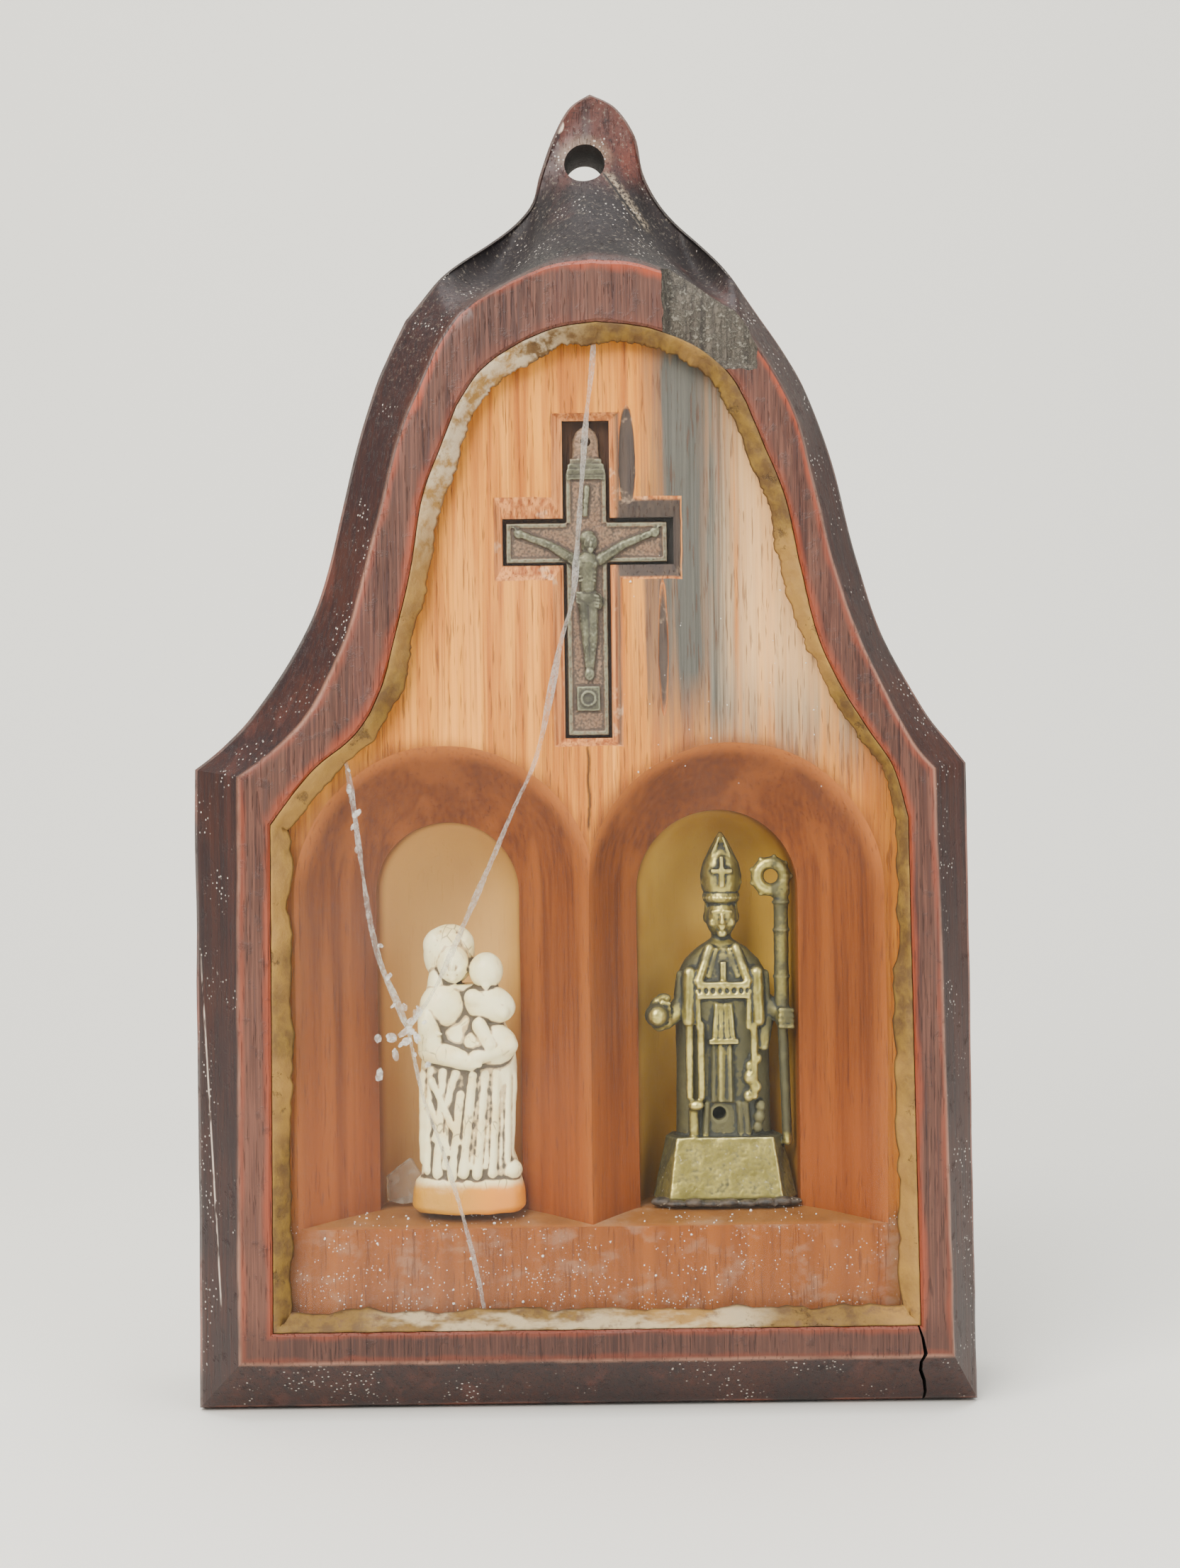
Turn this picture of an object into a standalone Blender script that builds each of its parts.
"""Wooden reliquary: carved block with a hanging lug, cracked glass in putty, crucifix and two figures.

All sizes are in metres. X is the viewer's right, Z is up and the front faces -Y. The origin is under
the middle of the block. Depths are counted backwards from the front face.
"""
import math

import bmesh
import bpy
from mathutils import Matrix, Vector, noise

WIDTH = 0.1142                   # across the foot of the block
HEIGHT = 0.1964                  # foot to the top of the hanging lug
DEPTH = 0.034                    # front face to back face
SHOULDER_HEIGHT = 0.0934         # where the straight sides end and the bell begins
CHAMFER_DEPTH = 0.0070           # depth of the wide chamfer round the front
LUG_SETBACK = 0.0215             # how far the lug's face lies behind the front face
HOLE_DIAMETER = 0.0062           # hanging hole in the lug
HOLE_HEIGHT = 0.1853             # height of the hole's centre
HOLE_X = 0.0017                  # the lug leans a little to the right
FACE_FOOT = 0.0082               # height of the lower edge of the flat front face
FACE_SHOULDER = 0.0925           # height of the corners of the flat front face
FACE_TOP = 0.1663                # top of the flat front face
FRAME_SIDE = 0.0046              # width of the flat frame at the sides
FRAME_TOP = 0.0088               # width of the flat frame at the top
FRAME_FOOT = 0.0045              # width of the flat frame at the foot
PANEL_DEPTH = 0.0048             # the carved panel behind the glass
GLASS_THICKNESS = 0.0016
GLASS_GAP = 0.0003               # air between the glass and the wood
CRACK_GAP = 0.00022              # opening of the cracks in the glass
PUTTY_WIDTH = 0.0025             # width of the putty bead
FLARE_DEPTH = 0.0130             # where the flares end and the niches begin
NICHE_DEPTH = 0.0275             # back wall of the niches
FLOOR_HEIGHT = 0.0277            # floor of the niches
SILL_DROP = 0.0013               # fall of the sill towards the glass
ARCH_HEIGHT = 0.0748             # height of the centres of both arches
LEFT_NICHE = 0.01065             # radius of the left niche
RIGHT_NICHE = 0.01200            # radius of the right niche
NICHE_ROUND = 0.72               # 1 makes the niches' plan half round, less makes it squarer
NICHE_X = 0.02005                # the niches' centres lie this far left and right of the middle
FLARE_RADIUS = 0.0219            # outer radius of the flares
FLARE_SHIFT = 0.0022             # the right flare's mouth lies this far right of its niche
CROSS_LENGTH = 0.0452            # crucifix with its bail
CROSS_SPAN = 0.0236              # crucifix across its arms
CROSS_BAR = 0.0061               # width of its bars
CROSS_THICKNESS = 0.0019
CROSS_X = 0.0013                 # centre of the shaft
CROSS_FOOT = 0.0980              # height of the shaft's lower end
BISHOP_HEIGHT = 0.0549           # base to the tip of the mitre
MADONNA_HEIGHT = 0.0431          # base to the top of the veil
STAND_GAP = 0.0003               # figures and splinter are kept this far above the floor
GLUE_HEIGHT = 0.0009             # the bishop stands on glue this thick
BISHOP_SHIFT = 0.0009            # bishop's place right of his niche's centre
MADONNA_SHIFT = 0.00275          # mother and child stand right of their niche's centre
SPLINTER_SHIFT = -0.00695        # loose splinter of glass, left in the left niche
SPLINTER_SIZE = 0.0063           # width of the loose splinter
GROOVE_NEAR = 0.0060             # long groove right of the cross's centre
GROOVE_FAR = 0.0110              # lower, finer groove
GROOVE_HALF = 0.00125            # half width of the long groove
SPLIT_X = 0.0486                 # drying crack through the foot of the frame
SPLIT_WIDTH = 0.0006
CHIP_DEPTH = 0.0021              # thickness of the flake lost at the upper right
CASE_SEGMENTS = 14               # points along each half of the bell

FRONT = -DEPTH / 2
BAR_TOP = CROSS_FOOT + CROSS_LENGTH * 0.69


def place(x, depth, z):
    """Point from its distance right of the middle, its depth behind the front face and its height."""
    return Vector((x, FRONT + depth, z))


def smooth(value, low, high):
    """Eased step from 0 at low to 1 at high."""
    t = min(1.0, max(0.0, (value - low) / (high - low)))
    return t * t * (3 - 2 * t)


def through(stations, count):
    """Smooth curve through stations, as count + 1 points evenly spaced along it."""
    ends = [stations[0]] + list(stations) + [stations[-1]]
    dense = []
    for i in range(1, len(ends) - 2):
        a, b, c, d = (Vector(p) for p in ends[i - 1:i + 3])
        for k in range(24):
            t = k / 24
            dense.append(0.5 * ((2 * b) + (c - a) * t + (2 * a - 5 * b + 4 * c - d) * t * t
                                + (3 * b - a - 3 * c + d) * t ** 3))
    dense.append(Vector(stations[-1]))
    length = [0.0]
    for p, q in zip(dense, dense[1:]):
        length.append(length[-1] + (q - p).length)
    result = []
    k = 0
    for i in range(count + 1):
        want = length[-1] * i / count
        while k < len(length) - 2 and length[k + 1] < want:
            k += 1
        t = (want - length[k]) / (length[k + 1] - length[k])
        result.append(dense[k].lerp(dense[k + 1], t))
    return result


def outline(foot_left, foot_right, foot, left, right, top):
    """Closed outline in the XZ plane: foot, right side, right bell, top, left bell, left side."""
    segments = CASE_SEGMENTS
    corner_right, corner_left = right[0], left[0]
    points = [Vector((0.0, foot)).lerp(Vector((foot_right, foot)), i / 4) for i in range(4)]
    points += [Vector((foot_right, foot)).lerp(Vector(corner_right), i / 6) for i in range(6)]
    bell_right = through(right, segments)[:-1] + through(top[0], segments)[:-1]
    bell_left = through(left, segments)[:-1] + through(top[1], segments)
    points += bell_right
    points += bell_left[::-1]
    points += [Vector(corner_left).lerp(Vector((foot_left, foot)), i / 6) for i in range(1, 7)]
    points += [Vector((foot_left, foot)).lerp(Vector((0.0, foot)), i / 4) for i in range(1, 4)]
    return points


def block_outline():
    """Outer edge of the block: straight sides, hand-carved bell and lug. Halves are shares of the width."""
    h = WIDTH / 2
    s = SHOULDER_HEIGHT
    rise = HEIGHT - s
    right = [(h * 0.995, s), (h * 0.957, s + rise * 0.027), (h * 0.885, s + rise * 0.077),
             (h * 0.785, s + rise * 0.180), (h * 0.716, s + rise * 0.300), (h * 0.659, s + rise * 0.430),
             (h * 0.595, s + rise * 0.530), (h * 0.544, s + rise * 0.583), (h * 0.478, s + rise * 0.637)]
    left = [(-h * 0.996, s + rise * 0.004), (-h * 0.918, s + rise * 0.038), (-h * 0.835, s + rise * 0.087),
            (-h * 0.714, s + rise * 0.188), (-h * 0.643, s + rise * 0.290), (-h * 0.578, s + rise * 0.439),
            (-h * 0.524, s + rise * 0.540), (-h * 0.485, s + rise * 0.590), (-h * 0.440, s + rise * 0.641)]
    lug_right = [(h * 0.478, s + rise * 0.637), (h * 0.400, s + rise * 0.703), (h * 0.325, s + rise * 0.775),
                 (h * 0.237, s + rise * 0.832), (h * 0.189, s + rise * 0.882), (h * 0.168, s + rise * 0.937),
                 (h * 0.115, s + rise * 0.980), (h * 0.046, HEIGHT)]
    lug_left = [(-h * 0.440, s + rise * 0.641), (-h * 0.345, s + rise * 0.703), (-h * 0.225, s + rise * 0.775),
                (-h * 0.124, s + rise * 0.832), (-h * 0.095, s + rise * 0.882), (-h * 0.058, s + rise * 0.937),
                (-h * 0.010, s + rise * 0.980), (h * 0.046, HEIGHT)]
    return outline(-h, h, 0.0, left, right, (lug_right, lug_left))


def face_outline():
    """Edge of the flat front face, inside the chamfer."""
    h = WIDTH / 2
    s = FACE_SHOULDER
    rise = FACE_TOP - s
    right = [(h * 0.890, s), (h * 0.841, s + rise * 0.045), (h * 0.780, s + rise * 0.130),
             (h * 0.700, s + rise * 0.265), (h * 0.642, s + rise * 0.400), (h * 0.592, s + rise * 0.570),
             (h * 0.558, s + rise * 0.680), (h * 0.520, s + rise * 0.745), (h * 0.465, s + rise * 0.815)]
    left = [(-h * 0.860, s), (-h * 0.747, s + rise * 0.063), (-h * 0.666, s + rise * 0.135),
            (-h * 0.583, s + rise * 0.268), (-h * 0.530, s + rise * 0.405), (-h * 0.470, s + rise * 0.590),
            (-h * 0.430, s + rise * 0.690), (-h * 0.388, s + rise * 0.760), (-h * 0.352, s + rise * 0.825)]
    top_right = [(h * 0.465, s + rise * 0.815), (h * 0.400, s + rise * 0.885), (h * 0.294, s + rise * 0.950),
                 (h * 0.160, s + rise * 0.990), (h * 0.046, FACE_TOP)]
    top_left = [(-h * 0.352, s + rise * 0.825), (-h * 0.290, s + rise * 0.895), (-h * 0.180, s + rise * 0.952),
                (-h * 0.060, s + rise * 0.990), (h * 0.046, FACE_TOP)]
    return outline(-h * 0.874, h * 0.922, FACE_FOOT, left, right, (top_right, top_left))


def inset(points, width):
    """Closed outline moved inwards; width is a function of the point's index share and position."""
    count = len(points)
    moved = []
    for i, p in enumerate(points):
        before = (p - points[i - 1]).normalized()
        after = (points[(i + 1) % count] - p).normalized()
        normal = Vector((-(before.y + after.y), before.x + after.x))
        normal.normalize()
        spread = max(0.75, normal.dot(Vector((-after.y, after.x))))
        moved.append(p + normal * width(p) / spread)
    return moved


def window_outline():
    """Edge of the rebate for glass and putty, cut into the front face."""
    h = WIDTH / 2
    s = FACE_SHOULDER - FRAME_SIDE * 1.5
    rise = FACE_TOP - FRAME_TOP - s
    right = [(h * 0.826, s), (h * 0.790, s + rise * 0.100), (h * 0.725, s + rise * 0.180),
             (h * 0.660, s + rise * 0.265), (h * 0.604, s + rise * 0.365), (h * 0.562, s + rise * 0.505),
             (h * 0.527, s + rise * 0.640), (h * 0.476, s + rise * 0.745), (h * 0.430, s + rise * 0.835)]
    left = [(-h * 0.785, s), (-h * 0.680, s + rise * 0.105), (-h * 0.567, s + rise * 0.180),
            (-h * 0.504, s + rise * 0.265), (-h * 0.468, s + rise * 0.365), (-h * 0.424, s + rise * 0.505),
            (-h * 0.392, s + rise * 0.650), (-h * 0.345, s + rise * 0.750), (-h * 0.302, s + rise * 0.835)]
    top_right = [(h * 0.430, s + rise * 0.835), (h * 0.385, s + rise * 0.895), (h * 0.300, s + rise * 0.950),
                 (h * 0.180, s + rise * 0.987), (h * 0.055, FACE_TOP - FRAME_TOP)]
    top_left = [(-h * 0.302, s + rise * 0.835), (-h * 0.240, s + rise * 0.905), (-h * 0.150, s + rise * 0.955),
                (-h * 0.050, s + rise * 0.988), (h * 0.055, FACE_TOP - FRAME_TOP)]
    foot = FACE_FOOT + FRAME_FOOT * 0.92
    return outline(-h * 0.874 + FRAME_SIDE, h * 0.922 - FRAME_SIDE, foot, left, right, (top_right, top_left))


def new_object(name, mesh_bm, group, material=None):
    """Mesh object from a bmesh, in one of the two collections."""
    bmesh.ops.recalc_face_normals(mesh_bm, faces=mesh_bm.faces)
    mesh = bpy.data.meshes.new(name)
    mesh_bm.to_mesh(mesh)
    mesh_bm.free()
    obj = bpy.data.objects.new(name, mesh)
    group.objects.link(obj)
    if material:
        mesh.materials.append(material)
    return obj


def loft(bm, rings, closed=True):
    """Skin over rings with equal point counts, capped at both ends."""
    rows = [[bm.verts.new(p) for p in ring] for ring in rings]
    count = len(rings[0])
    for a, b in zip(rows, rows[1:]):
        for i in range(count):
            j = (i + 1) % count
            bm.faces.new((a[i], a[j], b[j], b[i]))
    if closed:
        bm.faces.new(rows[0][::-1])
        bm.faces.new(rows[-1])
    return rows


def prism(bm, points, near, far):
    """Flat XZ outline extruded between two depths."""
    face = bm.faces.new([bm.verts.new(place(p[0], near, p[1])) for p in points])
    grown = bmesh.ops.extrude_face_region(bm, geom=[face], use_keep_orig=True)["geom"]
    bmesh.ops.translate(bm, verts=[g for g in grown if isinstance(g, bmesh.types.BMVert)], vec=(0, far - near, 0))


def drill(bm, centre, radius, near, far, segments):
    """Round bar along Y between two places, for a drilled hole."""
    turn = Matrix.Translation((centre[0], (near + far) / 2, centre[1])) @ Matrix.Rotation(math.pi / 2, 4, "X")
    bmesh.ops.create_cone(bm, cap_ends=True, segments=segments, radius1=radius, radius2=radius, depth=far - near,
                          matrix=turn)


def cut(obj, cutter, mode="DIFFERENCE"):
    """Live exact Boolean."""
    modifier = obj.modifiers.new(cutter.name, "BOOLEAN")
    modifier.operation = mode
    modifier.solver = "EXACT"
    modifier.object = cutter
    cutter.hide_render = True
    cutter.display_type = "WIRE"


def baked(obj):
    """Mesh of an object with its modifiers worked in; the object itself is removed."""
    bpy.context.view_layer.update()
    graph = bpy.context.evaluated_depsgraph_get()
    mesh = bpy.data.meshes.new_from_object(obj.evaluated_get(graph))
    bpy.data.objects.remove(obj)
    return mesh


def build_case(parts, cutters, wood):
    """The carved block."""
    outer = block_outline()
    face = face_outline()
    count = len(outer)
    rows = 6
    rings = []
    soft = inset(face, lambda p: 0.0004)
    rings.append([place(p.x, 0.0, p.y) for p in soft])
    for k in range(1, rows + 1):
        share = k / rows
        ring = []
        for a, b in zip(face, outer):
            lug = smooth(b.y, HEIGHT * 0.835, HEIGHT * 0.900)
            full = CHAMFER_DEPTH + (LUG_SETBACK - CHAMFER_DEPTH) * lug
            bend = 1.0 + 1.5 * lug
            depth = full * (1 - (1 - share) ** bend)
            p = a.lerp(b, share)
            if k == 1:
                p = a.lerp(b, share * 0.35)
                depth = full * (1 - (1 - share * 0.35) ** bend) * 0.85
            ring.append(place(p.x, depth, p.y))
        rings.append(ring)
    edge = rings[-1]
    ease = inset(outer, lambda p: 0.0005)
    rings[-1] = [place(e.x, v.y - FRONT - 0.0003, e.y) for e, v in zip(ease, edge)]
    rings.append([v + Vector((0, 0.0006, 0)) for v in edge])
    rings.append([place(p.x, DEPTH - 0.0007, p.y) for p in outer])
    rings.append([place(p.x, DEPTH, p.y) for p in inset(outer, lambda p: 0.0007)])
    for ring in rings:
        for v in ring:
            v.z = max(v.z, 0.0)
    bm = bmesh.new()
    loft(bm, rings)
    case = new_object("case", bm, parts, wood)

    window = window_outline()
    bm = bmesh.new()
    prism(bm, window, -0.002, PANEL_DEPTH)
    cut(case, new_object("cut_window", bm, cutters))

    for name, side, radius in (("left", -1, LEFT_NICHE), ("right", 1, RIGHT_NICHE)):
        bm = bmesh.new()
        loft(bm, niche_rings(side, radius))
        cut(case, new_object("cut_niche_" + name, bm, cutters))

    bm = bmesh.new()
    cross_cutter(bm)
    cut(case, new_object("cut_cross", bm, cutters))

    bm = bmesh.new()
    drill(bm, (HOLE_X, HOLE_HEIGHT), HOLE_DIAMETER / 2, FRONT, FRONT + DEPTH + 0.002, 24)
    cut(case, new_object("cut_hole", bm, cutters))

    bm = bmesh.new()
    chip_cutter(bm)
    cut(case, new_object("cut_chip", bm, cutters))

    bm = bmesh.new()
    low = BAR_TOP + CROSS_BAR * 0.1
    gouge(bm, CROSS_X + GROOVE_NEAR, low, low + CROSS_LENGTH * 0.36, GROOVE_HALF, GROOVE_HALF * 0.64)
    low = CROSS_FOOT + CROSS_LENGTH * 0.06
    gouge(bm, CROSS_X + GROOVE_FAR, low, low + CROSS_LENGTH * 0.44, GROOVE_HALF * 0.6, GROOVE_HALF * 0.36)
    cut(case, new_object("cut_gouges", bm, cutters))

    bm = bmesh.new()
    crack_cutter(bm)
    cut(case, new_object("cut_crack", bm, cutters))
    return case


def niche_rings(side, radius):
    """Rings of one niche with its flare, from before the panel to the back wall."""
    centre = side * NICHE_X
    spread = centre + (FLARE_SHIFT if side > 0 else 0.0)
    steps = [(-0.10, 0.0), (0.0, 0.0), (0.08, 0.06), (0.20, 0.24), (0.36, 0.46), (0.56, 0.68), (0.78, 0.86),
             (1.0, 1.0)]
    rings = []
    for share, deep in steps:
        lead = PANEL_DEPTH - 0.0016 if share < 0 else PANEL_DEPTH + (FLARE_DEPTH - PANEL_DEPTH) * deep
        r = FLARE_RADIUS + (radius - FLARE_RADIUS) * max(share, -0.03)
        x = spread + (centre - spread) * max(share, 0.0)
        floor = FLOOR_HEIGHT - SILL_DROP * (1 - deep)
        rings.append(arch(x, r, floor, lead))
    for turn in (0.12, 0.32, 0.54, 0.74, 0.90):
        angle = turn * math.pi / 2
        depth = FLARE_DEPTH + (NICHE_DEPTH - FLARE_DEPTH) * math.sin(angle) ** NICHE_ROUND
        rings.append(arch(centre, radius * math.cos(angle) ** NICHE_ROUND, FLOOR_HEIGHT, depth))
    return rings


def arch(x, radius, floor, depth):
    """Round-headed outline standing on the floor, as a ring of points."""
    points = [Vector((x - radius + 2 * radius * i / 4, floor)) for i in range(4)]
    points += [Vector((x + radius, floor + (ARCH_HEIGHT - floor) * i / 3)) for i in range(3)]
    points += [Vector((x + radius * math.cos(a), ARCH_HEIGHT + radius * math.sin(a)))
               for a in (math.pi * i / 16 for i in range(17))]
    points += [Vector((x - radius, ARCH_HEIGHT + (floor - ARCH_HEIGHT) * i / 3)) for i in range(1, 3)]
    return [place(p.x, depth, p.y) for p in points]


def cross_outline(side, top, foot, arm_left, arm_right, arm_low, arm_high):
    """Twelve-cornered cross; side is half the shaft's width."""
    x = CROSS_X
    return [Vector(p) for p in ((x - side, foot), (x + side, foot), (x + side, arm_low), (arm_right, arm_low),
                                (arm_right, arm_high), (x + side, arm_high), (x + side, top), (x - side, top),
                                (x - side, arm_high), (arm_left, arm_high), (arm_left, arm_low),
                                (x - side, arm_low))]


def cross_cutter(bm):
    """Cross-shaped recess with gouged, sloping margins."""
    half = CROSS_BAR / 2 + 0.0004
    low, high = BAR_TOP - CROSS_BAR - 0.0002, BAR_TOP + 0.0006
    left = CROSS_X - CROSS_SPAN / 2 - 0.0005
    right = CROSS_X + CROSS_SPAN / 2 + 0.0009
    top, foot = CROSS_FOOT + CROSS_LENGTH + 0.0008, CROSS_FOOT - 0.0004
    deep = PANEL_DEPTH + CROSS_THICKNESS + 0.0012
    core = cross_outline(half, top, foot, left, right, low, high)
    rim = cross_outline(half + 0.0016, top + 0.0010, foot - 0.0012, left - 0.0012, right + 0.0012,
                        low - 0.0022, high + 0.0030)
    rings = [[place(p.x, deep, p.y) for p in core], [place(p.x, PANEL_DEPTH + 0.0011, p.y) for p in core],
             [place(p.x, PANEL_DEPTH, p.y) for p in rim], [place(p.x, PANEL_DEPTH - 0.0012, p.y) for p in rim]]
    loft(bm, rings)


def chip_cutter(bm):
    """Missing flake of the front layer, upper right, with an uneven floor."""
    left, right = WIDTH * 0.110, WIDTH * 0.228
    low, high = HEIGHT * 0.765, HEIGHT * 0.862
    across, up = 9, 6
    top, floor = [], []
    for j in range(up + 1):
        for i in range(across + 1):
            u, v = i / across, j / up
            x = left + (right - left) * u
            z = low + (high - low) * v
            fall = CHIP_DEPTH * (1 - 0.45 * smooth(u, 0.6, 1.0) + 1.9 * smooth(v, 0.45, 1.0) * (1 - 0.3 * u))
            rough = 0.00035 * noise.noise(Vector((x * 700, z * 260, 3.0)))
            top.append(bm.verts.new(place(x, -0.003, z)))
            floor.append(bm.verts.new(place(x, fall + rough, z)))
    step = across + 1
    for grid in (top, floor):
        for j in range(up):
            for i in range(across):
                a = j * step + i
                bm.faces.new((grid[a], grid[a + 1], grid[a + step + 1], grid[a + step]))
    rim = [i for i in range(across)] + [across + j * step for j in range(up)]
    rim += [up * step + across - i for i in range(across)] + [(up - j) * step for j in range(up)]
    for a, b in zip(rim, rim[1:] + rim[:1]):
        bm.faces.new((top[a], top[b], floor[b], floor[a]))


def gouge(bm, x, low, high, half, deep):
    """Shallow boat-shaped groove in the panel."""
    rings = []
    for i in range(9):
        t = i / 8
        swell = max(0.12, math.sin(math.pi * t) ** 0.4)
        z = low + (high - low) * t
        ring = []
        for k in range(9):
            a = math.pi * k / 8
            ring.append(place(x - half * swell * math.cos(a), PANEL_DEPTH + deep * swell * math.sin(a), z))
        ring.append(place(x + half * swell, PANEL_DEPTH - 0.001, z))
        ring.append(place(x - half * swell, PANEL_DEPTH - 0.001, z))
        rings.append(ring)
    loft(bm, rings)


def crack_cutter(bm):
    """Open drying crack through the lower right corner of the frame."""
    start = FACE_FOOT + FRAME_FOOT
    path = [(-2.0, start * 1.03, 0.33), (0.0, start * 0.66, 0.87), (-0.8, start * 0.43, 0.8),
            (1.0, start * 0.13, 1.0), (0.7, -start * 0.1, 1.0)]
    rings = []
    for sway, z, open_share in path:
        x = SPLIT_X + sway * SPLIT_WIDTH
        w = SPLIT_WIDTH * 0.55 * open_share
        rings.append([place(x - w, -0.001, z), place(x + w, -0.001, z), place(x + w, CHAMFER_DEPTH * 0.45, z),
                      place(x, CHAMFER_DEPTH * 1.5, z), place(x - w, CHAMFER_DEPTH * 0.45, z)])
    loft(bm, rings)


def build_putty(parts, material):
    """Crumbly bead that beds the glass in the rebate."""
    wall = inset(window_outline(), lambda p: 0.00025)
    glass_front = PANEL_DEPTH - GLASS_GAP - GLASS_THICKNESS
    bm = bmesh.new()
    rings = [[], [], [], [], [], []]

    def wobble(p, seed, scale=420.0):
        return noise.noise(Vector((p.x * scale, p.y * scale, seed)))

    def width(p):
        thin = 0.45 * smooth(p.x, 0.030, 0.040) * smooth(p.y, 0.05, 0.08)
        return PUTTY_WIDTH * (1 + 0.42 * wobble(p, 1.0) + 0.22 * wobble(p, 5.0, 900.0) - thin)

    inner = inset(wall, width)
    for p, q in zip(wall, inner):
        rise = 0.0004 + 0.0003 * wobble(p, 9.0)
        middle = p.lerp(q, 0.45)
        crest = p.lerp(q, 0.12)
        slope = glass_front - (glass_front - rise) * (0.52 + 0.2 * wobble(p, 13.0, 700.0))
        rings[0].append(place(p.x, glass_front - GLASS_GAP, p.y))
        rings[1].append(place(p.x, rise + 0.0002, p.y))
        rings[2].append(place(crest.x, rise, crest.y))
        rings[3].append(place(middle.x, slope, middle.y))
        rings[4].append(place(p.lerp(q, 0.90).x, glass_front - GLASS_GAP - 0.00045, p.lerp(q, 0.90).y))
        rings[5].append(place(q.x, glass_front - GLASS_GAP, q.y))
    rows = loft(bm, rings, closed=False)
    count = len(rows[0])
    for i in range(count):
        j = (i + 1) % count
        bm.faces.new((rows[-1][i], rows[-1][j], rows[0][j], rows[0][i]))
    return new_object("putty", bm, parts, material)


def glass_cracks():
    """Main crack from the top through the impact point to the foot, and the left crack to that point."""
    w = WIDTH / 2
    z = FACE_TOP
    main = [(0.046, 0.962), (0.044, 0.919), (0.024, 0.860), (0.002, 0.768), (-0.014, 0.711), (-0.046, 0.671),
            (-0.075, 0.624), (-0.112, 0.571), (-0.175, 0.523), (-0.238, 0.474), (-0.296, 0.430), (-0.377, 0.370)]
    low = [(-0.412, 0.277), (-0.359, 0.224), (-0.305, 0.159), (-0.266, 0.097), (-0.249, 0.048)]
    side = [(-0.692, 0.610), (-0.608, 0.587), (-0.536, 0.421), (-0.473, 0.357)]

    def scaled(points):
        return [Vector((x * w, share * z)) for x, share in points]

    return scaled(main), Vector((-0.447 * w, 0.3355 * z)), scaled(low), scaled(side)


def build_glass(parts, cutters, material):
    """Sheet of clear glass, cracked into three shards."""
    sheet = inset(window_outline(), lambda p: 0.00045)
    far = PANEL_DEPTH - GLASS_GAP
    near = far - GLASS_THICKNESS
    main, impact, low, side = glass_cracks()
    reach = WIDTH

    def shifted(points, amount):
        return [p + Vector((amount, 0)) for p in points]

    gap = CRACK_GAP / 2
    right = shifted(main + [impact] + low, gap) + [Vector((low[-1].x, -0.01)), Vector((reach, -0.01)),
                                                   Vector((reach, HEIGHT)), Vector((main[0].x, HEIGHT))]
    up = Vector((-gap, gap * 1.5))
    down = Vector((-gap, -gap * 1.5))
    upper = shifted(main, -gap) + [impact + up] + [p + up * 0.7 for p in side[::-1]]
    upper += [Vector((-reach, side[0].y)), Vector((-reach, HEIGHT)), Vector((main[0].x - gap, HEIGHT))]
    lower = [p + down * 0.7 for p in side] + [impact + down] + shifted(low, -gap)
    lower += [Vector((low[-1].x, -0.01)), Vector((-reach, -0.01)), Vector((-reach, side[0].y - gap))]
    for name, region in (("glass_right", right), ("glass_upper_left", upper), ("glass_lower_left", lower)):
        bm = bmesh.new()
        prism(bm, sheet, near, far)
        shard = new_object(name, bm, parts, material)
        bm = bmesh.new()
        prism(bm, region, near - 0.001, far + 0.001)
        cut(shard, new_object("keep_" + name, bm, cutters), "INTERSECT")


def rounded(bm, centre, radii, turn=(0, 0, 0), rings=10, segments=14):
    """Closed ellipsoid."""
    verts = bmesh.ops.create_uvsphere(bm, u_segments=segments, v_segments=rings, radius=1.0)["verts"]
    spin = Matrix.Rotation(turn[2], 3, "Z") @ Matrix.Rotation(turn[1], 3, "Y") @ Matrix.Rotation(turn[0], 3, "X")
    for v in verts:
        v.co = spin @ Vector((v.co.x * radii[0], v.co.y * radii[1], v.co.z * radii[2])) + Vector(centre)


def limb(bm, start, end, first, last, segments=12):
    """Round tapering limb with ball ends."""
    a, b = Vector(start), Vector(end)
    axis = b - a
    turn = Matrix.Translation((a + b) / 2) @ axis.to_track_quat("Z", "Y").to_matrix().to_4x4()
    bmesh.ops.create_cone(bm, cap_ends=True, segments=segments, radius1=first, radius2=last, depth=axis.length,
                          matrix=turn)
    for centre, radius in ((a, first), (b, last)):
        bmesh.ops.create_uvsphere(bm, u_segments=segments, v_segments=8, radius=radius,
                                  matrix=Matrix.Translation(centre))


def slab(bm, low, high):
    """Box between two corners."""
    centre = (Vector(low) + Vector(high)) / 2
    size = Vector(high) - Vector(low)
    bmesh.ops.create_cube(bm, size=1.0, matrix=Matrix.Translation(centre) @ Matrix.Diagonal(size).to_4x4())


def gown(bm, levels, folds=0, depth=0.0, low_only=0.0, segments=56, lobes=None):
    """Draped body: levels are (z, centre x, half width, half depth front, half depth back)."""
    rings = []
    for z, x, half, front, back in levels:
        ring = []
        for i in range(segments):
            a = math.tau * i / segments
            c, s = math.cos(a), math.sin(a)
            wave = 0.0
            if folds and s < 0.25:
                wave = -depth * (0.5 + 0.5 * math.cos(folds * a)) * (1 - smooth(z, low_only * 0.8, low_only))
            across = abs(c) ** 0.8 * (1 if c > 0 else -1)
            along = abs(s) ** 0.75 * (1 if s > 0 else -1)
            ring.append(Vector((x + half * across, (front + wave if s < 0 else back) * along, z)))
        rings.append(ring)
    loft(bm, rings)


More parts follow.
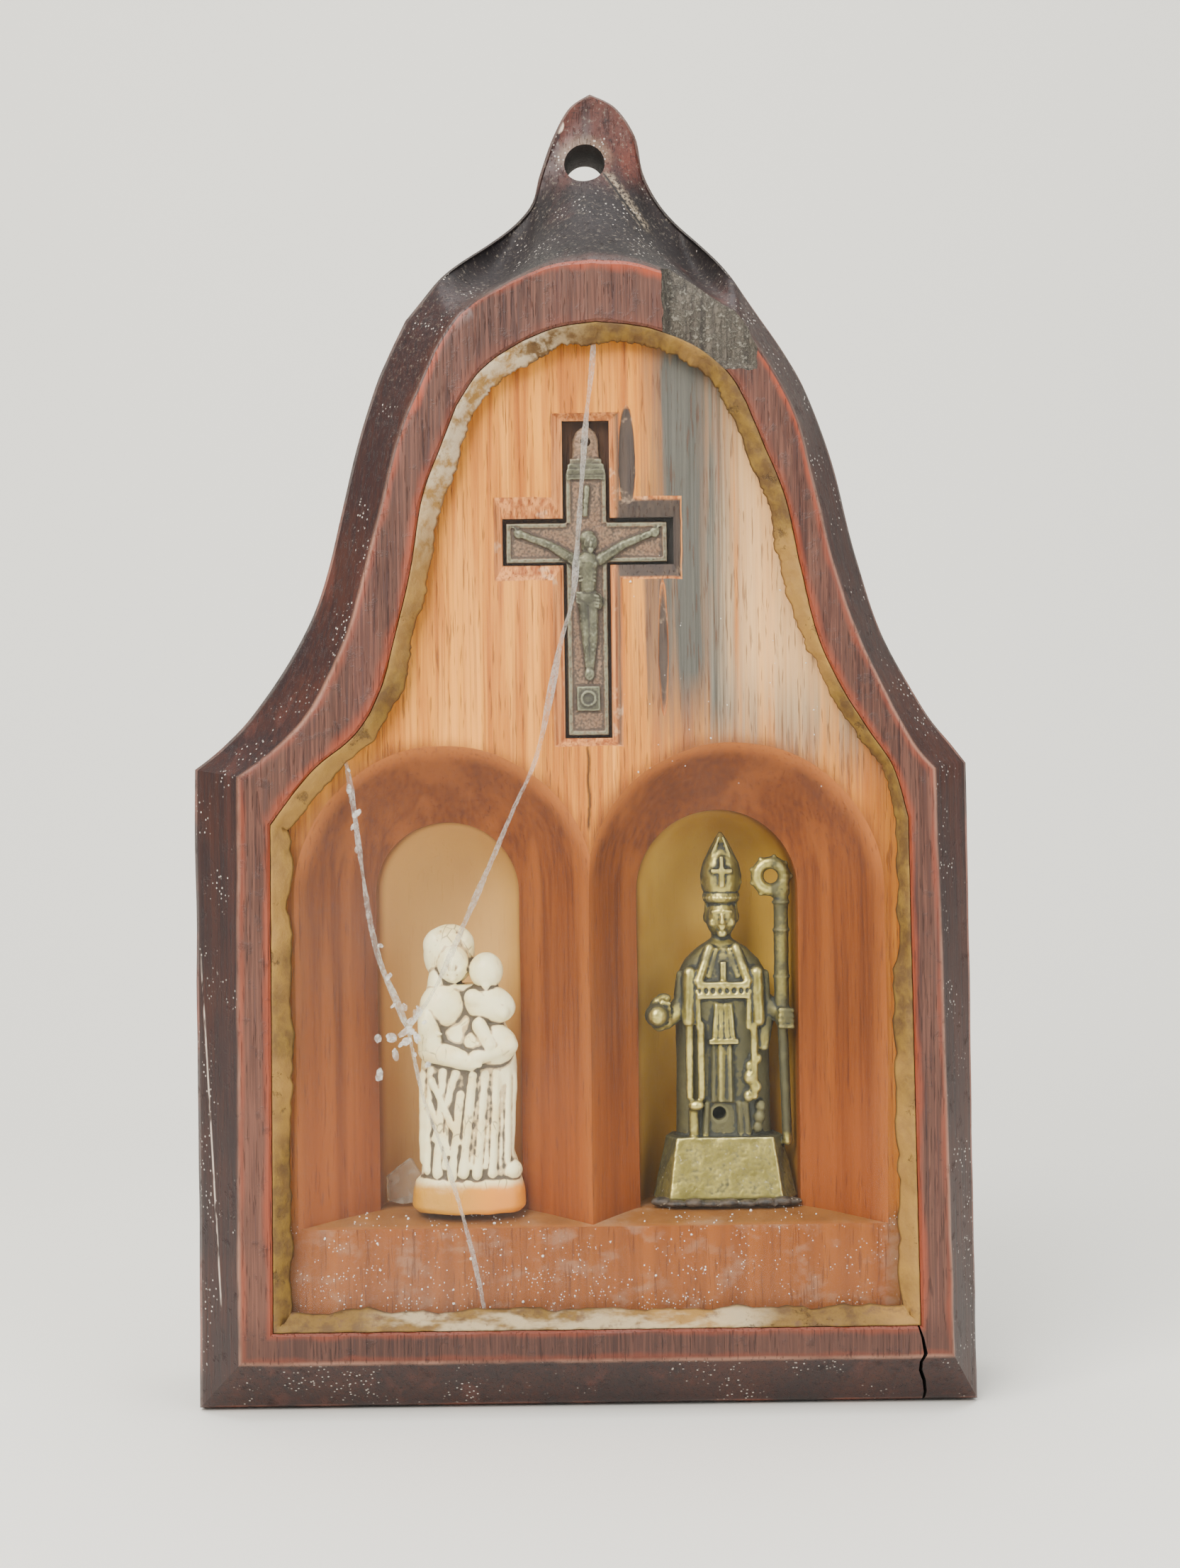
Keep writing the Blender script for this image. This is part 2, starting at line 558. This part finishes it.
def ring_shape(bm, centre, radius, tube, segments=20, around=10):
    """Torus facing the viewer: a small circle spun about the Y axis."""
    start = Matrix.Translation(Vector(centre) + Vector((radius, 0, 0)))
    verts = bmesh.ops.create_circle(bm, segments=around, radius=tube, matrix=start)["verts"]
    edges = list({edge for v in verts for edge in v.link_edges})
    bmesh.ops.spin(bm, geom=verts + edges, cent=centre, axis=(0, 1, 0), angle=math.tau, steps=segments,
                   use_merge=True)


def fused(name, bm, voxel, relax, ratio, holder):
    """Shapes melted into one closed skin, smoothed and thinned to few triangles."""
    obj = new_object(name, bm, holder)
    remesh = obj.modifiers.new("fuse", "REMESH")
    remesh.mode = "VOXEL"
    remesh.voxel_size = voxel
    remesh.use_smooth_shade = True
    ease = obj.modifiers.new("ease", "SMOOTH")
    ease.factor = 0.5
    ease.iterations = relax
    thin = obj.modifiers.new("thin", "DECIMATE")
    thin.ratio = ratio
    mesh = baked(obj)
    whole = bmesh.new()
    whole.from_mesh(mesh)
    keep_largest(whole)
    whole.to_mesh(mesh)
    whole.free()
    return mesh


def keep_largest(bm):
    """Drops loose crumbs, so that one skin is left."""
    left = set(bm.verts)
    bodies = []
    while left:
        start = min(left, key=lambda v: v.index)
        left.discard(start)
        stack, body = [start], []
        while stack:
            v = stack.pop()
            body.append(v)
            for edge in v.link_edges:
                other = edge.other_vert(v)
                if other in left:
                    left.discard(other)
                    stack.append(other)
        bodies.append(body)
    bodies.sort(key=len)
    for body in bodies[:-1]:
        bmesh.ops.delete(bm, geom=body, context="VERTS")


def bishop_shapes(bm):
    """Bishop in his own millimetres: x right, y back, z up from the base."""
    gown(bm, [(8.0, 0, 7.2, 3.3, 3.0), (12.0, 0, 7.1, 3.2, 3.0), (20.0, 0, 7.0, 3.2, 3.0), (26.0, 0, 7.1, 3.6, 3.2),
              (30.5, 0, 7.3, 4.0, 3.4), (33.0, 0, 6.9, 4.0, 3.4), (35.5, 0, 5.6, 3.6, 3.2), (37.3, 0, 3.7, 2.9, 2.8),
              (38.6, 0, 1.7, 1.8, 1.8)])
    limb(bm, (0, -0.3, 37.6), (0, -0.3, 40.0), 1.55, 1.5)
    rounded(bm, (0, -0.7, 42.0), (2.45, 2.6, 3.3))
    rounded(bm, (0, -2.9, 41.7), (0.42, 0.85, 1.0))
    rounded(bm, (-0.95, -2.62, 42.9), (0.62, 0.4, 0.3))
    rounded(bm, (0.95, -2.62, 42.9), (0.62, 0.4, 0.3))
    rounded(bm, (0, -2.55, 39.5), (0.85, 0.62, 0.6))
    rounded(bm, (0, -2.95, 40.35), (0.75, 0.32, 0.24))
    for side in (-1, 1):
        rounded(bm, (side * 2.45, -0.3, 41.9), (0.4, 0.7, 0.9))
    mitre(bm)
    for side in (-1, 1):
        limb(bm, (side * 2.0, -2.9, 37.4), (side * 3.7, -4.15, 32.4), 0.75, 0.8)
        limb(bm, (side * 5.0, -3.5, 33.6), (side * 5.3, -4.2, 26.6), 1.15, 0.95)
        limb(bm, (side * 3.9, -4.3, 31.0), (side * 3.7, -4.3, 25.6), 0.45, 0.45)
    slab(bm, (-3.95, -5.0, 29.9), (3.95, -3.0, 30.7))
    slab(bm, (-3.95, -5.0, 31.5), (3.95, -3.0, 32.4))
    slab(bm, (-3.6, -4.6, 30.2), (3.6, -3.0, 32.0))
    for x in (-5.2, -3.45, 4.55):
        limb(bm, (x, -4.1, 26.0), (x, -3.95, 15.2), 0.62, 0.6)
    rounded(bm, (-4.3, -4.2, 13.9), (1.25, 0.9, 0.85))
    limb(bm, (-4.7, -3.5, 12.8), (-4.6, -3.4, 9.0), 0.85, 0.8)
    gown(bm, [(14.2, -0.1, 2.7, 4.15, 2), (18.0, -0.1, 2.6, 4.2, 2), (22.6, -0.1, 2.5, 4.3, 2),
              (23.4, -0.1, 2.3, 4.1, 2)], folds=13, depth=0.35, low_only=40.0)
    for x in (-1.25, 0.15, 1.45):
        limb(bm, (x * 0.8, -3.9, 26.8), (x, -4.1, 23.7), 0.5, 0.8)
    for x, z, r in ((4.9, 20.8, 0.9), (3.9, 19.7, 0.75), (4.0, 18.0, 1.15), (4.7, 16.6, 1.0), (3.6, 15.2, 0.85),
                    (5.5, 13.6, 0.85), (5.3, 12.0, 0.9), (5.0, 10.4, 0.75)):
        rounded(bm, (x, -3.75 if z > 15 else -3.1, z), (r, r * 0.9, r * 1.1))
    limb(bm, (6.3, -2.6, 26.5), (6.0, -3.4, 22.6), 1.3, 0.8)
    limb(bm, (-5.9, -1.9, 29.0), (-8.6, -4.2, 26.6), 1.7, 1.25)
    rounded(bm, (-9.6, -4.7, 27.8), (1.9, 1.3, 2.9))
    limb(bm, (-10.0, -5.3, 27.6), (-10.0, -6.7, 27.6), 1.9, 1.7)
    rounded(bm, (-9.0, -4.4, 30.0), (1.2, 1.0, 0.8))
    limb(bm, (6.3, -1.9, 29.0), (8.9, -3.2, 27.2), 1.6, 1.2)
    rounded(bm, (9.1, -3.6, 27.0), (1.55, 1.5, 1.9))
    for z in (25.9, 26.8, 27.7):
        rounded(bm, (9.7, -4.4, z), (1.1, 0.8, 0.5))
    limb(bm, (8.9, -2.9, 45.2), (8.8, -3.2, 28.0), 1.15, 1.2)
    limb(bm, (8.9, -3.1, 27.0), (9.5, -2.4, 8.2), 0.8, 0.75)
    rounded(bm, (8.6, -2.9, 45.6), (1.75, 1.35, 0.85))
    ring_shape(bm, (7.4, -3.1, 48.1), 2.05, 1.05)
    rounded(bm, (9.4, -3.1, 46.4), (0.9, 1.0, 1.2))


def mitre(bm):
    """Pointed two-horned mitre with its band."""
    levels = [(44.4, 2.65), (45.0, 2.85), (45.6, 2.85), (45.9, 2.6), (46.6, 2.95), (48.3, 3.15), (50.2, 2.75),
              (52.2, 1.75), (53.8, 0.85), (54.8, 0.25)]
    rings = []
    for z, half in levels:
        deep = min(half, 2.75) * (1.0 if z < 49 else 0.8)
        rings.append([Vector((half * math.cos(a), -0.7 + deep * math.sin(a), z))
                      for a in (math.tau * i / 24 for i in range(24))])
    loft(bm, rings)
    slab(bm, (-0.35, -3.65, 46.4), (0.35, -2.4, 51.0))
    slab(bm, (-1.7, -3.55, 48.6), (1.7, -2.4, 49.3))


def build_bishop(parts, holder, brass):
    """Cast bishop on a crisp tapering base with a small hole above it."""
    unit = BISHOP_HEIGHT / 54.9
    bm = bmesh.new()
    bishop_shapes(bm)
    mesh = fused("bishop_body", bm, 0.25, 2, 0.0220, holder)
    upper = bpy.data.objects.new("bishop_body", mesh)
    holder.objects.link(upper)
    bm = bmesh.new()
    rings = []
    for z, front, side, back in ((0.0, 8.45, 10.9, 9.0), (8.2, 7.35, 9.0, 8.0), (9.1, 7.2, 8.8, 7.8)):
        y = -6.4 + 1.9 * (z / 9.1)
        rings.append([Vector((-front, y, z)), Vector((front, y, z)), Vector((side, y + 3.4, z)),
                      Vector((back, 3.6 - 0.5 * z / 9.1, z)), Vector((-back, 3.6 - 0.5 * z / 9.1, z)),
                      Vector((-side, y + 3.4, z))])
    loft(bm, rings)
    bishop = new_object("bishop", bm, parts, brass)
    cut(bishop, upper, "UNION")
    bm = bmesh.new()
    drill(bm, (-0.75, 12.5), 1.05, -8.0, 0.6, 12)
    cutter = new_object("cut_bishop_hole", bm, holder)
    cut(bishop, cutter)
    at = place(NICHE_X + BISHOP_SHIFT, FLARE_DEPTH + BISHOP_HEIGHT * 0.113, FLOOR_HEIGHT + GLUE_HEIGHT)
    for obj in (bishop, upper, cutter):
        obj.data.transform(Matrix.Translation(at) @ Matrix.Scale(unit, 4))
    return bishop


def madonna_shapes(bm):
    """Mother and child in their own millimetres: x right, y back, z up from the base."""
    gown(bm, [(4.6, 0.4, 7.4, 3.6, 3.6), (6.5, 0.3, 7.2, 3.5, 3.5), (10.0, 0.1, 6.4, 3.3, 3.3),
              (15.0, 0.1, 6.7, 3.3, 3.3), (20.5, 0.2, 7.1, 3.4, 3.3), (24.0, 0.2, 6.9, 3.5, 3.3),
              (28.0, -0.4, 5.9, 3.2, 3.0), (31.0, -1.6, 4.6, 2.8, 2.7), (33.5, -2.2, 3.6, 2.6, 2.6)])
    rounded(bm, (-2.5, 0.3, 37.8), (3.9, 3.3, 4.6))
    rounded(bm, (-4.3, -0.4, 39.3), (2.1, 1.9, 2.4))
    rounded(bm, (-0.9, -0.3, 39.2), (2.2, 2.0, 2.7))
    rounded(bm, (-1.9, -1.9, 36.6), (2.35, 2.2, 2.9))
    rounded(bm, (-1.75, -4.0, 36.2), (0.36, 0.6, 0.75))
    rounded(bm, (-4.1, -0.9, 33.4), (1.7, 1.9, 3.3))
    rounded(bm, (3.0, -2.2, 35.5), (2.55, 2.5, 2.75))
    rounded(bm, (3.1, -4.55, 35.1), (0.3, 0.42, 0.45))
    rounded(bm, (3.4, -2.2, 30.6), (3.9, 2.6, 2.9), (0, 0.25, 0))
    limb(bm, (1.0, -3.7, 31.8), (5.4, -3.7, 29.6), 1.25, 1.1)
    rounded(bm, (-3.4, -1.6, 30.2), (3.6, 2.6, 3.6))
    limb(bm, (-5.6, -2.6, 28.8), (-5.2, -3.3, 24.6), 1.6, 1.9)
    limb(bm, (-5.4, -3.3, 24.0), (0.6, -4.3, 22.4), 1.75, 1.35)
    rounded(bm, (3.3, -2.6, 24.6), (4.2, 2.5, 3.3), (0, -0.1, 0))
    limb(bm, (6.0, -3.2, 24.6), (1.4, -4.5, 23.0), 1.6, 1.2)
    limb(bm, (2.0, -3.8, 27.6), (3.4, -4.6, 24.8), 1.2, 1.0)
    folds = ((-5.2, 21.0, -6.0, 6.4, 0.85), (-3.4, 20.8, -4.4, 6.0, 0.95), (-1.6, 20.6, -4.6, 11.0, 0.8),
             (-0.9, 17.5, -2.2, 5.6, 0.85), (0.9, 20.4, -0.6, 6.0, 0.95), (2.7, 20.4, 1.4, 5.8, 0.85),
             (4.3, 20.4, 3.6, 6.0, 0.9), (6.0, 20.2, 5.6, 5.8, 0.8))
    for top_x, top_z, foot_x, foot_z, r in folds:
        bulge = 3.9 - 0.05 * foot_x ** 2
        limb(bm, (top_x, -3.7 + 0.045 * top_x ** 2, top_z), (foot_x, -bulge, foot_z), r * 0.85, r)
    limb(bm, (-5.2, -3.6, 19.6), (-1.0, -4.2, 10.5), 0.5, 0.45)
    limb(bm, (-5.4, -3.2, 16.0), (-2.6, -4.0, 9.0), 0.45, 0.45)
    limb(bm, (-6.0, -1.5, 20.0), (-5.7, -1.6, 8.0), 1.2, 1.5)
    limb(bm, (6.3, -1.2, 20.0), (5.6, -1.4, 8.0), 1.1, 1.2)
    rounded(bm, (6.3, -1.8, 6.2), (1.7, 1.8, 1.5))


def build_madonna(parts, holder, bone):
    """Worn pale figure of a mother and child on a lump of wax."""
    unit = MADONNA_HEIGHT / 43.1
    bm = bmesh.new()
    madonna_shapes(bm)
    gown(bm, [(0.0, 0.0, 7.6, 4.6, 4.0), (0.8, 0.0, 8.4, 5.0, 4.2), (3.0, 0.0, 8.3, 4.9, 4.2), (4.6, 0.0, 7.9, 4.5, 4.0),
              (5.4, 0.1, 6.9, 3.9, 3.7)])
    mesh = fused("madonna", bm, 0.28, 1, 0.0245, holder)
    mesh.materials.clear()
    mesh.materials.append(bone)
    at = place(-NICHE_X + MADONNA_SHIFT, FLARE_DEPTH - MADONNA_HEIGHT * 0.0534, FLOOR_HEIGHT + STAND_GAP)
    low = min(v.co.z for v in mesh.vertices)
    mesh.transform(Matrix.Translation(at) @ Matrix.Scale(unit, 4) @ Matrix.Translation((0, 0, -low)))
    madonna = bpy.data.objects.new("madonna", mesh)
    parts.objects.link(madonna)
    return madonna


def build_crucifix(parts, holder, bronze):
    """Flat cast cross with raised rim, corpus in relief, plaque and bail, in its own millimetres."""
    unit = CROSS_LENGTH / 45.2
    bm = bmesh.new()
    bar, span = 3.0, 11.8
    arm_high, arm_low, top = 31.2, 25.3, 38.4
    rings = []
    for y, shrink in ((0.0, 0.25), (0.25, 0.0), (1.2, 0.0), (1.45, 0.2)):
        b, s = bar - shrink, span - shrink
        rings.append([Vector((x, y, z)) for x, z in (
            (-b, shrink), (b, shrink), (b, arm_low + shrink), (s, arm_low + shrink), (s, arm_high - shrink),
            (b, arm_high - shrink), (b, top), (-b, top), (-b, arm_high - shrink), (-s, arm_high - shrink),
            (-s, arm_low + shrink), (-b, arm_low + shrink))])
    loft(bm, rings)
    cross = new_object("crucifix", bm, parts, bronze)

    bm = bmesh.new()
    limb(bm, (-9.6, 0.05, 29.4), (-2.4, -0.1, 25.6), 0.62, 0.85, 8)
    limb(bm, (9.6, 0.05, 29.4), (2.4, -0.1, 25.6), 0.62, 0.85, 8)
    rounded(bm, (-9.9, 0.0, 29.6), (0.85, 0.5, 0.8), rings=6, segments=8)
    rounded(bm, (9.9, 0.0, 29.6), (0.85, 0.5, 0.8), rings=6, segments=8)
    rounded(bm, (0.5, -0.25, 28.2), (1.15, 0.95, 1.5), (0, 0.25, 0), rings=8, segments=10)
    limb(bm, (0, 0.0, 25.4), (0.1, 0.0, 21.2), 1.75, 1.3, 10)
    rounded(bm, (0.1, -0.1, 19.8), (1.75, 0.85, 1.5), rings=6, segments=10)
    limb(bm, (0.6, 0.05, 19.0), (0.75, -0.35, 14.4), 0.95, 0.75, 8)
    limb(bm, (-0.5, 0.05, 19.0), (-0.2, -0.25, 14.6), 0.95, 0.75, 8)
    limb(bm, (0.75, -0.3, 14.4), (0.3, 0.0, 9.2), 0.75, 0.55, 8)
    limb(bm, (-0.2, -0.2, 14.6), (0.0, 0.0, 9.2), 0.75, 0.5, 8)
    for v in bm.verts:
        v.co.y *= 0.72
    mesh = fused("corpus", bm, 0.20, 1, 0.022, holder)
    corpus = bpy.data.objects.new("corpus", mesh)
    holder.objects.link(corpus)
    cut(cross, corpus, "UNION")

    bm = bmesh.new()
    slab(bm, (-1.7, -0.32, 3.6), (1.7, 0.8, 7.2))
    plaque = new_object("plaque", bm, holder)
    cut(cross, plaque, "UNION")
    bm = bmesh.new()
    rings = []
    for z, half, deep in ((37.6, 2.85, 0.75), (39.4, 2.85, 0.75), (39.6, 2.45, 0.62), (40.2, 2.45, 0.62),
                          (40.4, 2.0, 0.6), (43.6, 1.85, 0.6), (44.7, 1.2, 0.55), (45.2, 0.4, 0.4)):
        rings.append([Vector((half * math.cos(a), 0.7 + deep * (1.15 if abs(math.sin(a)) > 0.3 else 0.8)
                              * math.sin(a), z)) for a in (math.tau * (i + 0.5) / 12 for i in range(12))])
    loft(bm, rings)
    bail = new_object("bail", bm, holder)
    cut(cross, bail, "UNION")
    bm = bmesh.new()
    drill(bm, (0.0, 43.0), 0.75, -1.5, 3.0, 10)
    eye = new_object("cut_bail", bm, holder)
    cut(cross, eye)
    at = place(CROSS_X, PANEL_DEPTH + 0.0015, CROSS_FOOT)
    for obj in (cross, corpus, plaque, bail, eye):
        obj.data.transform(Matrix.Translation(at) @ Matrix.Scale(unit, 4))
    return cross


def build_small(parts, holder, glue, glass):
    """Dark glue in front of the bishop's base and the loose splinter of glass in the left niche."""
    bm = bmesh.new()
    slab(bm, (-9.35, 0.4, 0.0), (9.45, 9.0, 0.5))
    for x, r in ((-9.75, 1.1), (-7.55, 0.8), (-4.95, 1.0), (-2.35, 0.8), (0.25, 0.95), (3.05, 0.8), (5.65, 1.0),
                 (8.25, 1.1), (9.65, 0.9)):
        back = 1.9 * abs(x / 10.0) ** 5
        rounded(bm, (x, back * 0.6, r * 0.68), (1.6, 1.0, r * 0.66), rings=8, segments=10)
    mesh = fused("glue_lump", bm, 0.22, 1, 0.010, holder)
    mesh.materials.clear()
    mesh.materials.append(glue)
    low = min(v.co.z for v in mesh.vertices)
    at = place(NICHE_X + BISHOP_SHIFT, FLARE_DEPTH - BISHOP_HEIGHT * 0.0273, FLOOR_HEIGHT + 0.0001)
    unit = BISHOP_HEIGHT / 54.9
    mesh.transform(Matrix.Translation(at) @ Matrix.Diagonal((unit, unit, GLUE_HEIGHT / 0.9, 1.0))
                   @ Matrix.Translation((0, 0, -low)))
    parts.objects.link(bpy.data.objects.new("glue_lump", mesh))

    bm = bmesh.new()
    corners = ((-0.48, 0.09), (-0.10, 0.0), (0.41, 0.05), (0.49, 0.54), (0.10, 1.09), (-0.22, 0.89), (-0.52, 0.67))
    prism(bm, [(x, z) for x, z in corners], -FRONT - 0.07, -FRONT + 0.07)
    splinter = new_object("glass_fragment", bm, parts, glass)
    lean = Matrix.Rotation(math.radians(-14), 4, "X") @ Matrix.Rotation(math.radians(-20), 4, "Z")
    low = min((lean @ v.co).z for v in splinter.data.vertices)
    at = place(-NICHE_X + SPLINTER_SHIFT, FLARE_DEPTH + SPLINTER_SIZE * 0.45, FLOOR_HEIGHT + STAND_GAP)
    splinter.data.transform(Matrix.Translation(at) @ Matrix.Scale(SPLINTER_SIZE, 4)
                            @ Matrix.Translation((0, 0, -low)) @ lean)


def material(name, color, roughness, metallic=0.0, alpha=1.0):
    """Plain surface for one kind of material."""
    made = bpy.data.materials.new(name)
    made.use_nodes = True
    shader = made.node_tree.nodes["Principled BSDF"]
    shader.inputs["Base Color"].default_value = (*color, 1.0)
    shader.inputs["Roughness"].default_value = roughness
    shader.inputs["Metallic"].default_value = metallic
    shader.inputs["Alpha"].default_value = alpha
    return made


def collection(name):
    """New collection in the scene."""
    made = bpy.data.collections.new(name)
    bpy.context.scene.collection.children.link(made)
    return made


def main():
    for obj in list(bpy.data.objects):
        bpy.data.objects.remove(obj)
    parts = collection("reliquary")
    cutters = collection("cutters")
    wood = material("wood_red_brown", (0.19, 0.075, 0.038), 0.5)
    putty = material("putty_golden_brown", (0.36, 0.21, 0.07), 0.8)
    glass = material("glass_clear", (0.9, 0.93, 0.92), 0.05, alpha=0.15)
    bronze = material("bronze_grey_green", (0.13, 0.12, 0.085), 0.45, 1.0)
    bone = material("bone_cream", (0.80, 0.72, 0.53), 0.5)
    brass = material("brass_antique", (0.34, 0.29, 0.13), 0.4, 1.0)
    glue = material("glue_dark", (0.05, 0.04, 0.03), 0.5)
    build_case(parts, cutters, wood)
    build_putty(parts, putty)
    build_glass(parts, cutters, glass)
    build_crucifix(parts, cutters, bronze)
    build_madonna(parts, cutters, bone)
    build_bishop(parts, cutters, brass)
    build_small(parts, cutters, glue, glass)
    for obj in parts.objects:
        obj.data.shade_smooth()
        obj.data.set_sharp_from_angle(angle=math.radians(32))


main()
